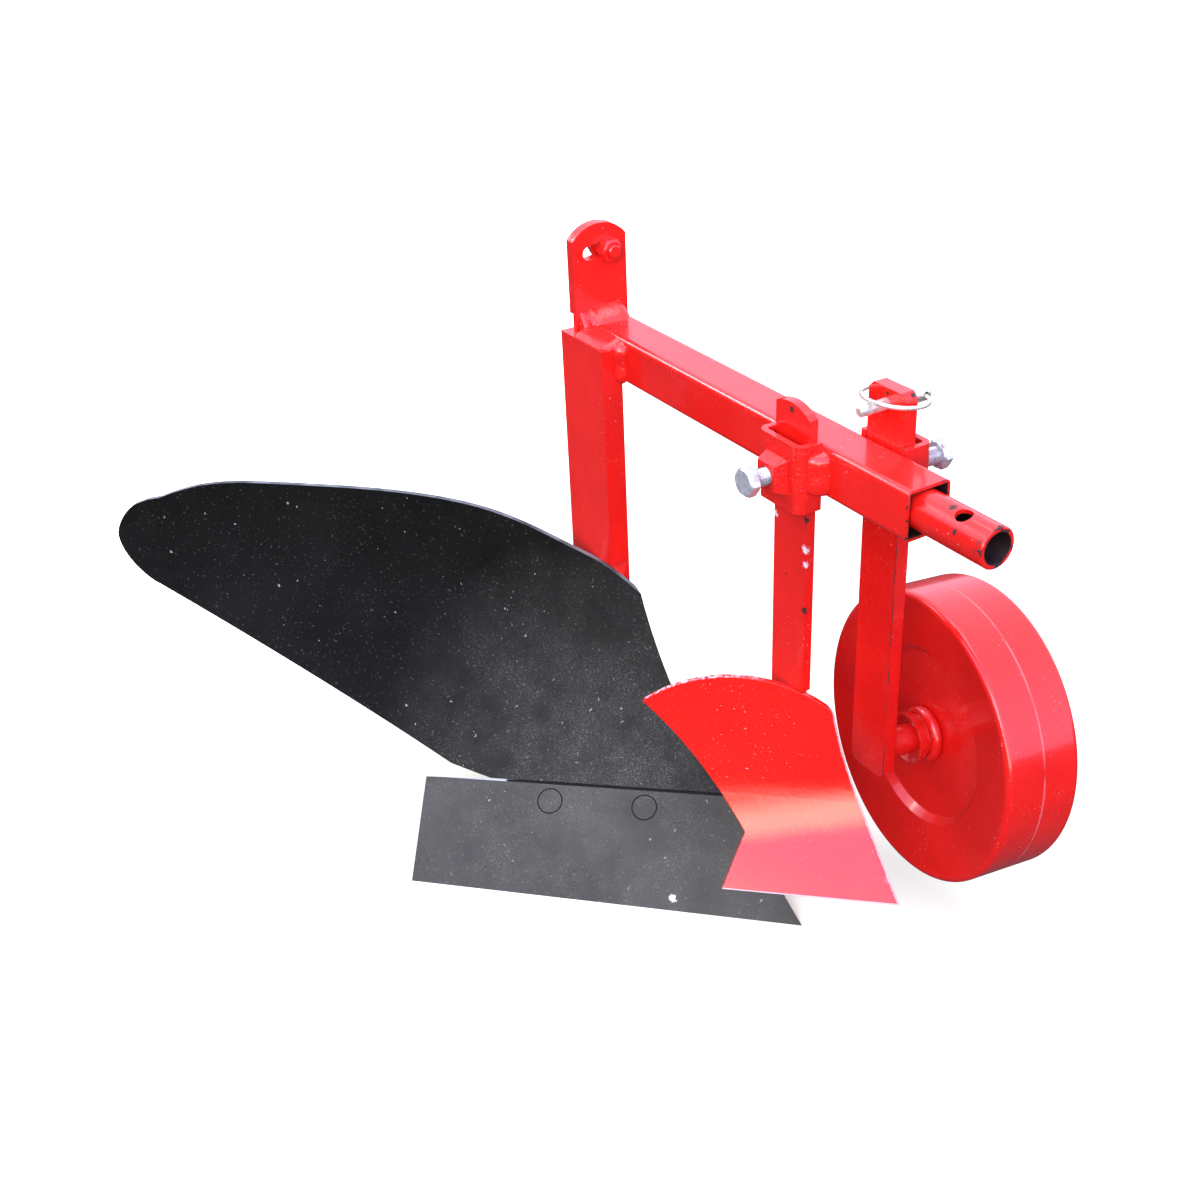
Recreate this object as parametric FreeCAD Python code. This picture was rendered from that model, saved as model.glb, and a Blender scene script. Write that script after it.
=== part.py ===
import FreeCAD, Part
import math
import os

# Right-hand plough body for a two-wheel tractor: a square beam with a slotted tilt
# adjuster behind, a hitch tube inside the beam, a clamped jointer and a clamped land wheel.
# Millimetres. +X forward, +Y to the land side, +Z up.
# Origin: centre of the cross hole for the hitch pin, on the axis of the hitch tube.
# RISE is counted up from the cutting edge of the share, ALONG from the share point.

V = FreeCAD.Vector

# --- hitch tube and beam
PIN_HOLE_R = 6.5
PIN_ROLL = 18.0
PIN_TO_TUBE_END = 29.0
PIN_TO_BEAM = 40.0
TUBE_R = 16.0
TUBE_WALL = 4.0
EDGE_BREAK = 1.0
BEAM_SIDE = 40.0
BEAM_WALL = 3.0
BEAM_CORNER_R = 5.0
BEAM_LENGTH = 425.0

# --- slotted tilt plate, its arm and their bolt
PLATE_T = 5.0
PLATE_GAP = 0.3
PLATE_LEFT = 23.0
PLATE_RIGHT = -31.0
PLATE_SHOULDER = 92.0
PLATE_CROWN = 105.0
PLATE_FOOT = -20.0
SLOT_R = 81.0
SLOT_FROM_DEG = -10.4
SLOT_TO_DEG = 5.2
TILT_REST_DEG = 2.5
ARM_FOOT_R = 19.4
ARM_WAIST = 27.0
ARM_NECK = 15.5
ARM_NECK_RISE = 18.0
TILT_BOLT_R = 6.0
TILT_FLATS = 19.0
TILT_NUT_H = 10.5
TILT_HEAD_H = 7.5
TILT_BOLT_TAIL = 3.5
RUN_GAP = 0.3

# --- standard (rear post)
POST_FRONT = -PIN_TO_BEAM - BEAM_LENGTH + 56.0
POST_W = 68.0
POST_T = 20.0
POST_TOP = 12.0
POST_FOOT_RISE = 72.0
POST_NOTCH_RISE = 250.0

# --- share and mouldboard
SHARE_POINT_X = POST_FRONT + 268.8
LAND_Y = -20.0
EDGE_Z = -446.7
BODY_ANGLE = 45.0
SHARE_DIP = 42.0
SHARE_L = 362.0
SHARE_T = 8.0
SEAM_UP = 110.0
BOARD_R = 330.0
BOARD_T = 5.0
BOARD_TOP = 325.0
SEAM_GAP = 0.6
SHARE_BOLT_ALONG = (155.0, 244.0)
SHARE_BOLT_UP = (90.0, 87.0)
SHARE_BOLT_R = 6.0
SHARE_HEAD_R = 11.5
SHARE_HEAD_H = 6.0
SHARE_NUT_FLATS = 19.0
SHARE_NUT_H = 10.0
SHARE_BOLT_TAIL = 4.0
CARRIER_T = 8.0

# --- frog, landside, stay
LANDSIDE_T = 8.0
LANDSIDE_H = 60.0
HEEL_X = POST_FRONT - 67.0
FROG_T = 10.0
FROG_TOP_RISE = 170.0
FROG_LOW_RISE = 8.0
LAND_BOLT_X = (POST_FRONT - 21.0, POST_FRONT + 109.0)
LAND_BOLT_RISE = 34.0
LAND_BOLT_R = 5.0
LAND_HEAD_R = 9.5
LAND_HEAD_H = 5.0
LAND_NUT_FLATS = 17.0
LAND_NUT_H = 8.0
LAND_BOLT_TAIL = 3.0
STAY_W = 30.0
STAY_T = 8.0
STAY_FROM = (POST_FRONT - 31.0, -30.0, 120.0)
STAY_ALONG = 470.0
STAY_RISE = 185.0

# --- jointer (skimmer)
JBAR_FRONT = -139.0
JBAR_W = 40.0
JBAR_T = 8.0
BAR_GAP = 0.5
JBAR_TOP_REAR = 44.4
JBAR_TOP_FRONT = 40.0
JBAR_TOP_CROWN = 48.2
JOINTER_POINT_X = -30.6
JOINTER_LAND_Y = -9.0
JOINTER_POINT_Z = -350.6
JOINTER_ANGLE = 46.6
JOINTER_DIP = 60.5
JOINTER_UP = 80.0
JOINTER_R = 260.0
JOINTER_T = 4.5
JOINTER_TOP = 175.0
JBAR_FOOT_RISE = 60.0
JBAR_NOTCH_RISE = 155.2

# --- land wheel, its bar and lynch pin
WBAR_FRONT = -92.0
WBAR_W = 40.0
WBAR_T = 12.0
WBAR_TOP = 64.0
WBAR_FOOT = -275.0
WBAR_CHAMFER = 5.0
LYNCH_R = 4.5
LYNCH_Z = 51.5
LYNCH_TIP_Y = -6.0
LYNCH_FLANGE_R = 9.5
LYNCH_FLANGE_T = 4.0
LYNCH_HEAD_R = 6.5
LYNCH_EYE_OUT = 21.0
LYNCH_HEAD_L = 27.0
RING_R = 25.0
RING_WIRE_R = 1.7
RING_EYE_R = 3.0
HUB_X = -113.2
HUB_Y = 71.85
HUB_Z = -264.4
AXLE_TOE_DEG = 6.9
AXLE_DROP_DEG = 2.9
WHEEL_R = 127.0
WHEEL_W = 71.0
SHELL_T = 2.5
RIM_ROUND = 5.0
DISC_IN = 7.0
STEP_R = 79.0
STEP_SLOPE = 6.0
WELL_DEPTH = 15.0
AXLE_R = 12.5
BUSH_GAP = 0.05
BUSH_R = 16.0
HUB_R = 20.0
COLLAR_R = 24.5
COLLAR_L = 10.0
NECK_R = 19.0
CUP_R = 23.0
CUP_T = 2.5
CUP_DEPTH = 8.0
END_WASHER_R = 20.0
END_WASHER_T = 3.0
SPLIT_R = 2.5
SPLIT_L = 36.0
SIDE_PLAY = 0.5

# --- clamp brackets and their bolts
STRAP_T = 5.0
STRAP_H = 55.0
STRAP_MID_Z = -4.0
STRAP_BEND_R = 8.0
JSTRAP_OUT = 22.0
WSTRAP_OUT = 26.0
STRAP_END_PLAY = 0.5
BOSS_W = 27.0
BOSS_H = 28.0
BOSS_L = 11.0
BOSS_TAPER = 3.5
CLAMP_R = 7.0
CLAMP_FLATS = 21.0
CLAMP_HEAD_H = 9.0
CLAMP_OPEN = 0.3
JCLAMP_HEAD_Y = -65.0
WCLAMP_HEAD_Y = 73.0
BIG = 900.0


def box(x0, x1, y0, y1, z0, z1):
    return Part.makeBox(x1 - x0, y1 - y0, z1 - z0, V(x0, y0, z0))


def cyl(r, length, base, axis):
    return Part.makeCylinder(r, length, V(*base), V(*axis))


def prism(points, sweep):
    ring = [V(*p) for p in points]
    face = Part.Face(Part.makePolygon(ring + [ring[0]]))
    return face.extrude(V(*sweep))


def sweep_face(edges, sweep):
    face = Part.Face(Part.Wire(Part.__sortEdges__(edges)))
    return face.extrude(sweep)


def arc3(a, b, c):
    return Part.Arc(a, b, c).toShape()


def line(a, b):
    return Part.LineSegment(a, b).toShape()


def hexagon(flats, length, base, axis, bevel):
    """Hexagonal prism whose outer corners are turned down at its far end."""
    corner = flats / math.sqrt(3.0)
    pts = []
    for k in range(6):
        turn = math.radians(60.0 * k + 30.0)
        pts.append(V(corner * math.cos(turn), corner * math.sin(turn), 0.0))
    bar = Part.Face(Part.makePolygon(pts + [pts[0]])).extrude(V(0, 0, length))
    cone = Part.makeCone(corner, corner - 2.0 * bevel, bevel, V(0, 0, length - bevel))
    round_bar = Part.makeCylinder(corner, length - bevel).fuse(cone)
    solid = bar.common(round_bar)
    solid.Placement = FreeCAD.Placement(V(*base), FreeCAD.Rotation(V(0, 0, 1), V(*axis)))
    return solid


def save(name, shape):
    solids = shape.Solids
    shape = max(solids, key=lambda s: s.Volume)
    shape.exportStep(os.path.join("parts", name + ".step"))


# ---------------------------------------------------------------- blade surfaces

class Blade:
    """Plate rolled about level generators: flat at its dip, then an upward arc."""

    def __init__(self, point, angle, dip, flat, radius):
        turn = math.radians(angle)
        self.point = V(*point)
        self.along = V(-math.cos(turn), -math.sin(turn), 0.0)
        self.back = V(-math.sin(turn), math.cos(turn), 0.0)
        self.dip = math.radians(dip)
        self.flat = flat
        self.radius = radius

    def at(self, along, back, rise):
        return self.point + self.along * along + self.back * back + V(0, 0, rise)

    def on_flat(self, along, up, depth):
        """Point on the flat, up its slope, depth below its front face."""
        back = up * math.cos(self.dip) + depth * math.sin(self.dip)
        rise = up * math.sin(self.dip) - depth * math.cos(self.dip)
        return self.at(along, back, rise)

    def normal(self):
        return self.back * -math.sin(self.dip) + V(0, 0, math.cos(self.dip))

    def arc_point(self, depth, rise):
        """Back distance and rise of the curved part, depth behind its front face."""
        r = self.radius + depth
        centre_back = self.flat * math.cos(self.dip) - self.radius * math.sin(self.dip)
        centre_rise = self.flat * math.sin(self.dip) + self.radius * math.cos(self.dip)
        drop = centre_rise - rise
        return centre_back + math.sqrt(r * r - drop * drop), rise

    def arc_edge(self, along, depth, top):
        start = self.on_flat(along, self.flat, depth)
        foot = start.z - self.point.z
        mid = self.arc_point(depth, 0.5 * (foot + top))
        end = self.arc_point(depth, top)
        return arc3(start, self.at(along, *mid), self.at(along, *end))

    def sheet(self, start, end, low, depth, top):
        """Solid plate from front face to depth, between two stations along the edge."""
        front = self.arc_edge(start, 0.0, top)
        rear = self.arc_edge(start, depth, top)
        a = self.on_flat(start, low, 0.0)
        b = self.on_flat(start, low, depth)
        edges = [front, rear, line(a, b)]
        edges.append(line(a, self.on_flat(start, self.flat, 0.0)))
        edges.append(line(b, self.on_flat(start, self.flat, depth)))
        edges.append(line(self.at(start, *self.arc_point(0.0, top)),
                          self.at(start, *self.arc_point(depth, top))))
        return sweep_face(edges, self.along * (end - start))

    def slab(self, outline, depth_from, depth_to):
        """Prism square to the flat, outline in (along, up)."""
        pts = [self.on_flat(a, u, depth_from) for a, u in outline]
        face = Part.Face(Part.makePolygon(pts + [pts[0]]))
        return face.extrude(self.normal() * (depth_from - depth_to))


def land_cut(y_edge):
    """Everything on the land side of a plane."""
    return box(-BIG, BIG, y_edge, BIG, -BIG, BIG)


BODY = Blade((SHARE_POINT_X, LAND_Y, EDGE_Z), BODY_ANGLE, SHARE_DIP, SEAM_UP, BOARD_R)
JOINTER = Blade((JOINTER_POINT_X, JOINTER_LAND_Y, JOINTER_POINT_Z), JOINTER_ANGLE,
                JOINTER_DIP, JOINTER_UP, JOINTER_R)


def room_ahead():
    """Space in front of the rear faces of share and mouldboard, for trimming the frame."""
    start = -200.0
    share_seam = BODY.on_flat(start, SEAM_UP, SHARE_T)
    board_seam = BODY.on_flat(start, SEAM_UP, BOARD_T)
    low = BODY.on_flat(start, -120.0, SHARE_T)
    top = BODY.at(start, *BODY.arc_point(BOARD_T, BOARD_TOP))
    far_top = BODY.at(start, -500.0, BOARD_TOP)
    far_low = BODY.at(start, -500.0, low.z - EDGE_Z)
    edges = [BODY.arc_edge(start, BOARD_T, BOARD_TOP), line(board_seam, share_seam)]
    edges.append(line(share_seam, low))
    edges.append(line(low, far_low))
    edges.append(line(far_low, far_top))
    edges.append(line(far_top, top))
    return sweep_face(edges, BODY.along * 1200.0)


# ---------------------------------------------------------------- share and mouldboard

SEAM_LINE = [(40.0, 112.0), (93.0, SEAM_UP), (281.0, 103.5), (366.0, 98.0)]


def share():
    outline = [(-60.0, 0.0), (SHARE_L, 0.0)] + SEAM_LINE[::-1] + [(-60.0, 114.0)]
    solid = BODY.slab(outline, 0.0, SHARE_T).cut(land_cut(LAND_Y))
    solid = solid.cut(box(-BIG, BIG, -BIG, BIG, -BIG, EDGE_Z))
    for a, u in zip(SHARE_BOLT_ALONG, SHARE_BOLT_UP):
        solid = solid.cut(plough_bolt_body(a, u))
    return solid


def plough_bolt_body(along, up):
    into = BODY.normal() * -1.0
    top = BODY.on_flat(along, up, 0.0)
    cone = Part.makeCone(SHARE_HEAD_R, SHARE_BOLT_R, SHARE_HEAD_H, top, into)
    length = SHARE_T + CARRIER_T + SHARE_NUT_H + SHARE_BOLT_TAIL
    return cone.fuse(Part.makeCylinder(SHARE_BOLT_R, length, top, into)).removeSplitter()


def share_nut(along, up):
    into = BODY.normal() * -1.0
    base = BODY.on_flat(along, up, SHARE_T + CARRIER_T)
    solid = hexagon(SHARE_NUT_FLATS, SHARE_NUT_H, base, into, 1.5)
    return solid.cut(plough_bolt_body(along, up))


def share_carrier():
    outline = [(60.0, 62.0), (322.0, 62.0), (322.0, 101.0), (281.0, 103.0), (60.0, 109.0)]
    solid = BODY.slab(outline, SHARE_T, SHARE_T + CARRIER_T)
    solid = solid.cut(land_cut(LAND_Y - LANDSIDE_T - FROG_T))
    for a, u in zip(SHARE_BOLT_ALONG, SHARE_BOLT_UP):
        solid = solid.cut(plough_bolt_body(a, u))
    return solid


def board_outline(back):
    """Free outline of the mouldboard, in (along, rise), as edges in one upright plane."""
    seam_end = (300.0, 68.0)
    low = (344.0, 75.5)
    low_mid = (444.0, 110.5)
    nose_low = (660.0, 196.0)
    nose = (702.5, 240.0)
    nose_top = (675.0, 269.0)
    crest = [(618.0, 292.5), (522.0, 302.5), (448.0, 303.5), (375.0, 300.0),
             (305.0, 286.0), (238.0, 258.5), (177.0, 222.5)]

    def p(q):
        return BODY.at(q[0], back, q[1])

    nose_arc = Part.Arc(p(nose_low), p(nose), p(nose_top))
    top = Part.BSplineCurve()
    leave = BODY.along * -0.90 + V(0, 0, 0.43)
    top.interpolate(Points=[p(nose_top)] + [p(c) for c in crest],
                    InitialTangent=leave, FinalTangent=BODY.along * -0.80 + V(0, 0, -0.60))
    edges = [line(p((0.0, 60.0)), p(seam_end)), line(p(seam_end), p(low))]
    edges.append(arc3(p(low), p(low_mid), p(nose_low)))
    edges.append(nose_arc.toShape())
    edges.append(top.toShape())
    edges.append(line(p(crest[-1]), p((0.0, 222.5))))
    edges.append(line(p((0.0, 222.5)), p((0.0, 60.0))))
    return edges


def mouldboard():
    plate = BODY.sheet(-20.0, 760.0, SEAM_UP - 30.0, BOARD_T, BOARD_TOP)
    outline = sweep_face(board_outline(-60.0), BODY.back * 340.0)
    solid = plate.common(outline).cut(land_cut(LAND_Y))
    below = [(-60.0, -20.0), (372.0, -20.0), (372.0, 97.6 + SEAM_GAP)]
    below += [(281.0, 103.5 + SEAM_GAP), (93.0, SEAM_UP + SEAM_GAP), (-60.0, 115.5)]
    return solid.cut(BODY.slab(below, -30.0, 30.0))


# ---------------------------------------------------------------- frame

def beam_tube():
    half = 0.5 * BEAM_SIDE
    inner = half - BEAM_WALL
    outside = box(-PIN_TO_BEAM - BEAM_LENGTH, -PIN_TO_BEAM, -half, half, -half, half)
    long_edges = [e for e in outside.Edges if abs(e.tangentAt(e.FirstParameter).x) > 0.9]
    outside = outside.makeFillet(BEAM_CORNER_R, long_edges)
    hollow = box(-BIG, BIG, -inner, inner, -inner, inner)
    long_edges = [e for e in hollow.Edges if abs(e.tangentAt(e.FirstParameter).x) > 0.9]
    hollow = hollow.makeFillet(BEAM_CORNER_R - BEAM_WALL, long_edges)
    return outside.cut(hollow)


def standard_post(ahead):
    solid = box(POST_FRONT - POST_W, POST_FRONT, LAND_Y - POST_T, LAND_Y,
                EDGE_Z + POST_FOOT_RISE, POST_TOP)
    reach = box(-BIG, BIG, -BIG, BIG, -BIG, EDGE_Z + POST_NOTCH_RISE)
    return solid.cut(ahead.common(reach))


def plate_profile(x, foot):
    """Outline edges of a tilt plate: straight sides and a crowned top."""
    left = V(x, PLATE_LEFT, PLATE_SHOULDER)
    right = V(x, PLATE_RIGHT, PLATE_SHOULDER)
    crown = V(x, 0.5 * (PLATE_LEFT + PLATE_RIGHT), PLATE_CROWN)
    return [arc3(left, crown, right)] + [line(a, b) for a, b in zip(foot[:-1], foot[1:])]


def tilt_plate():
    x = -PIN_TO_BEAM - BEAM_LENGTH - PLATE_T
    foot = [V(x, PLATE_RIGHT, PLATE_SHOULDER), V(x, PLATE_RIGHT, POST_TOP)]
    foot += [V(x, LAND_Y, POST_TOP), V(x, LAND_Y, PLATE_FOOT)]
    foot += [V(x, PLATE_LEFT, PLATE_FOOT), V(x, PLATE_LEFT, PLATE_SHOULDER)]
    solid = sweep_face(plate_profile(x, foot), V(PLATE_T, 0, 0))
    solid = solid.cut(tilt_slot(x - 1.0, PLATE_T + 2.0))
    return solid.cut(cyl(TUBE_R + RUN_GAP, PLATE_T + 2.0, (x - 1.0, 0, 0), (1, 0, 0)))


def slot_centre(x, deg):
    turn = math.radians(deg)
    return V(x, SLOT_R * math.sin(turn), SLOT_R * math.cos(turn))


def tilt_slot(x, depth):
    """Arc slot about the beam axis with round ends."""
    half = TILT_BOLT_R + RUN_GAP
    outer = Part.makeCylinder(SLOT_R + half, depth, V(x, 0, 0), V(1, 0, 0))
    inner = Part.makeCylinder(SLOT_R - half, depth, V(x, 0, 0), V(1, 0, 0))
    a = slot_centre(x, SLOT_FROM_DEG) * 1.0
    b = slot_centre(x, SLOT_TO_DEG) * 1.0
    hub = V(x, 0, 0)
    far_a = hub + (a - hub) * 2.0
    far_b = hub + (b - hub) * 2.0
    wedge = prism([hub, far_a, far_b], (depth, 0, 0))
    slot = outer.cut(inner).common(wedge)
    slot = slot.fuse(Part.makeCylinder(half, depth, a, V(1, 0, 0)))
    return slot.fuse(Part.makeCylinder(half, depth, b, V(1, 0, 0)))


def arm_x():
    return -PIN_TO_BEAM - BEAM_LENGTH - 2.0 * PLATE_T - PLATE_GAP


def tilt_arm():
    x = arm_x()
    foot = [V(x, PLATE_RIGHT, PLATE_SHOULDER), V(x, PLATE_RIGHT, ARM_WAIST)]
    foot += [V(x, -ARM_NECK, ARM_NECK_RISE), V(x, -ARM_NECK, 0.0)]
    foot += [V(x, ARM_NECK, 0.0), V(x, ARM_NECK, ARM_NECK_RISE)]
    foot += [V(x, PLATE_LEFT, ARM_WAIST), V(x, PLATE_LEFT, PLATE_SHOULDER)]
    solid = sweep_face(plate_profile(x, foot), V(PLATE_T, 0, 0))
    solid = solid.fuse(cyl(ARM_FOOT_R, PLATE_T, (x, 0, 0), (1, 0, 0))).removeSplitter()
    solid = solid.cut(cyl(TUBE_R, PLATE_T, (x, 0, 0), (1, 0, 0)))
    return solid.cut(tilt_slot(x - 1.0, PLATE_T + 2.0))


def hitch_tube():
    start = arm_x()
    length = PIN_TO_TUBE_END - start
    outside = cyl(TUBE_R, length, (start, 0, 0), (1, 0, 0))
    rim = [e for e in outside.Edges if e.CenterOfMass.x > PIN_TO_TUBE_END - 0.1]
    outside = outside.makeChamfer(EDGE_BREAK, rim)
    bore = cyl(TUBE_R - TUBE_WALL, length + 2.0, (start - 1.0, 0, 0), (1, 0, 0))
    turn = math.radians(PIN_ROLL)
    axis = V(0, -math.sin(turn), math.cos(turn))
    cross = Part.makeCylinder(PIN_HOLE_R, 4.0 * TUBE_R, axis * (-2.0 * TUBE_R), axis)
    return outside.cut(bore).cut(cross)


def tilt_bolt():
    rear = arm_x()
    c = slot_centre(rear, TILT_REST_DEG)
    shank_end = -PIN_TO_BEAM - BEAM_LENGTH + PLATE_GAP + TILT_NUT_H + TILT_BOLT_TAIL
    shank = Part.makeCylinder(TILT_BOLT_R, shank_end - rear, c, V(1, 0, 0))
    rim = [e for e in shank.Edges if e.CenterOfMass.x > shank_end - 0.1]
    shank = shank.makeChamfer(EDGE_BREAK, rim)
    head = hexagon(TILT_FLATS, TILT_HEAD_H, c, (-1, 0, 0), 1.5)
    return shank.fuse(head).removeSplitter()


def tilt_nut():
    c = slot_centre(-PIN_TO_BEAM - BEAM_LENGTH + PLATE_GAP, TILT_REST_DEG)
    solid = hexagon(TILT_FLATS, TILT_NUT_H, c, (1, 0, 0), 1.5)
    return solid.cut(Part.makeCylinder(TILT_BOLT_R, TILT_NUT_H, c, V(1, 0, 0)))


# ---------------------------------------------------------------- frog and landside

def frog_plate(ahead):
    y0 = LAND_Y - LANDSIDE_T - FROG_T
    rear = POST_FRONT - POST_W
    low = EDGE_Z + FROG_LOW_RISE
    foot = EDGE_Z + POST_FOOT_RISE
    top = EDGE_Z + FROG_TOP_RISE
    pts = [(rear, y0, low), (SHARE_POINT_X, y0, low), (SHARE_POINT_X, y0, top)]
    pts += [(POST_FRONT, y0, top), (POST_FRONT, y0, foot), (rear, y0, foot)]
    solid = prism(pts, (0, FROG_T, 0)).cut(ahead)
    for x in LAND_BOLT_X:
        solid = solid.cut(landside_bolt(x))
    return solid


def landside_plate(ahead):
    solid = box(HEEL_X, SHARE_POINT_X, LAND_Y - LANDSIDE_T, LAND_Y, EDGE_Z, EDGE_Z + LANDSIDE_H)
    solid = solid.cut(ahead)
    for x in LAND_BOLT_X:
        solid = solid.cut(landside_bolt(x))
    return solid


def landside_bolt(x):
    z = EDGE_Z + LAND_BOLT_RISE
    length = LANDSIDE_T + FROG_T + LAND_NUT_H + LAND_BOLT_TAIL
    shank = cyl(LAND_BOLT_R, length, (x, LAND_Y, z), (0, -1, 0))
    cone = Part.makeCone(LAND_HEAD_R, LAND_BOLT_R, LAND_HEAD_H, V(x, LAND_Y, z), V(0, -1, 0))
    return shank.fuse(cone).removeSplitter()


def landside_nut(x):
    y = LAND_Y - LANDSIDE_T - FROG_T
    z = EDGE_Z + LAND_BOLT_RISE
    solid = hexagon(LAND_NUT_FLATS, LAND_NUT_H, (x, y, z), (0, -1, 0), 1.2)
    return solid.cut(cyl(LAND_BOLT_R, LAND_NUT_H, (x, y, z), (0, -1, 0)))


def mouldboard_stay(ahead):
    """Flat strut from the standard to the back of the mouldboard wing."""
    start = V(STAY_FROM[0], STAY_FROM[1], EDGE_Z + STAY_FROM[2])
    end = BODY.at(STAY_ALONG, *BODY.arc_point(0.0, STAY_RISE))
    run = end - start
    side = run.cross(V(0, 0, 1))
    side.normalize()
    rise = side.cross(run)
    rise.normalize()
    a = start + side * (-0.5 * STAY_T) + rise * (-0.5 * STAY_W)
    pts = [a, a + side * STAY_T, a + side * STAY_T + rise * STAY_W, a + rise * STAY_W]
    solid = prism([tuple(p) for p in pts], tuple(run)).cut(ahead)
    post_side = box(-BIG, BIG, LAND_Y - POST_T, BIG, -BIG, BIG)
    return solid.cut(post_side)


# ---------------------------------------------------------------- clamp brackets

def strap(side, bar_front, bar_w, out):
    """U strap round a bar, welded by its ends to the beam side; side is -1 or +1."""
    face = 0.5 * BEAM_SIDE
    x1 = bar_front + STRAP_END_PLAY + STRAP_T
    x0 = bar_front - bar_w - STRAP_END_PLAY - STRAP_T
    z0 = STRAP_MID_Z - 0.5 * STRAP_H
    z1 = STRAP_MID_Z + 0.5 * STRAP_H
    y_out = face + out
    outside = box(x0, x1, face, y_out, z0, z1)
    bends = [e for e in outside.Edges if abs(e.CenterOfMass.y - y_out) < 0.1
             and abs(e.tangentAt(e.FirstParameter).z) > 0.9]
    outside = outside.makeFillet(STRAP_BEND_R, bends)
    room = box(x0 + STRAP_T, x1 - STRAP_T, face - 10.0, y_out - STRAP_T, z0 - 1.0, z1 + 1.0)
    bends = [e for e in room.Edges if abs(e.CenterOfMass.y - (y_out - STRAP_T)) < 0.1
             and abs(e.tangentAt(e.FirstParameter).z) > 0.9]
    room = room.makeFillet(STRAP_BEND_R - STRAP_T, bends)
    solid = outside.cut(room)
    hole = cyl(CLAMP_R + RUN_GAP, out, (0.5 * (x0 + x1), face, STRAP_MID_Z), (0, 1, 0))
    solid = solid.cut(hole)
    return flip(solid, side)


def flip(solid, side):
    if side > 0:
        return solid
    return solid.mirror(V(0, 0, 0), V(0, 1, 0))


def boss(side, bar_front, bar_w, out):
    """Tapered clamp nut on the outside of a strap."""
    x = bar_front - 0.5 * bar_w
    y = 0.5 * BEAM_SIDE + out
    base = Part.makePolygon(boss_ring(x, y, 0.0))
    tip = Part.makePolygon(boss_ring(x, y + BOSS_L, BOSS_TAPER))
    solid = Part.makeLoft([base, tip], True, True)
    solid = solid.cut(cyl(CLAMP_R + RUN_GAP, BOSS_L, (x, y, STRAP_MID_Z), (0, 1, 0)))
    return flip(solid, side)


def boss_ring(x, y, inset):
    a = 0.5 * BOSS_W - inset
    b = 0.5 * BOSS_H - inset
    z = STRAP_MID_Z
    pts = [V(x - a, y, z - b), V(x + a, y, z - b), V(x + a, y, z + b), V(x - a, y, z + b)]
    return pts + [pts[0]]


def clamp_bolt(bar_front, bar_w, tip_y, head_y):
    """Hexagon bolt bearing on the bar; its head is out at head_y."""
    x = bar_front - 0.5 * bar_w
    way = 1.0 if head_y > 0 else -1.0
    length = abs(head_y - tip_y)
    shank = cyl(CLAMP_R, length, (x, tip_y, STRAP_MID_Z), (0, way, 0))
    rim = [e for e in shank.Edges if abs(e.CenterOfMass.y - tip_y) < 0.1]
    shank = shank.makeChamfer(EDGE_BREAK, rim)
    head = hexagon(CLAMP_FLATS, CLAMP_HEAD_H, (x, head_y, STRAP_MID_Z), (0, way, 0), 1.6)
    return shank.fuse(head).removeSplitter()


# ---------------------------------------------------------------- jointer

def jointer_room_ahead():
    start = -150.0
    top = JOINTER_TOP
    low = JOINTER.on_flat(start, -60.0, JOINTER_T)
    seam = JOINTER.on_flat(start, JOINTER_UP, JOINTER_T)
    crest = JOINTER.at(start, *JOINTER.arc_point(JOINTER_T, top))
    far_top = JOINTER.at(start, -300.0, top)
    far_low = JOINTER.at(start, -300.0, low.z - JOINTER_POINT_Z)
    edges = [JOINTER.arc_edge(start, JOINTER_T, top), line(seam, low), line(low, far_low)]
    edges += [line(far_low, far_top), line(far_top, crest)]
    return sweep_face(edges, JOINTER.along * 500.0)


def jbar_faces():
    y_in = -0.5 * BEAM_SIDE - BAR_GAP
    return y_in - JBAR_T, y_in


def skimmer_post():
    """Flat bar with an arched top; its front is trimmed to the back of the blade."""
    y0, y1 = jbar_faces()
    x0 = JBAR_FRONT - JBAR_W
    foot = JOINTER_POINT_Z + JBAR_FOOT_RISE
    a = V(x0, y0, JBAR_TOP_REAR)
    m = V(0.5 * (x0 + JBAR_FRONT), y0, JBAR_TOP_CROWN)
    b = V(JBAR_FRONT, y0, JBAR_TOP_FRONT)
    edges = [arc3(a, m, b), line(b, V(JBAR_FRONT, y0, foot))]
    edges.append(line(V(JBAR_FRONT, y0, foot), V(x0, y0, foot + 0.5 * JBAR_W)))
    edges.append(line(V(x0, y0, foot + 0.5 * JBAR_W), a))
    solid = sweep_face(edges, V(0, JBAR_T, 0))
    reach = box(-BIG, BIG, -BIG, BIG, -BIG, JOINTER_POINT_Z + JBAR_NOTCH_RISE)
    return solid.cut(jointer_room_ahead().common(reach))


def skimmer_gusset():
    """Web that carries the blade on the front edge of the bar."""
    y0, y1 = jbar_faces()
    foot = JOINTER_POINT_Z + JBAR_FOOT_RISE
    pts = [(JBAR_FRONT, y0, foot), (JBAR_FRONT + 70.0, y0, foot - 25.0)]
    pts += [(JBAR_FRONT + 70.0, y0, foot + 70.0), (JBAR_FRONT, y0, foot + 70.0)]
    return prism(pts, (0, JBAR_T, 0)).cut(jointer_room_ahead())


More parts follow.
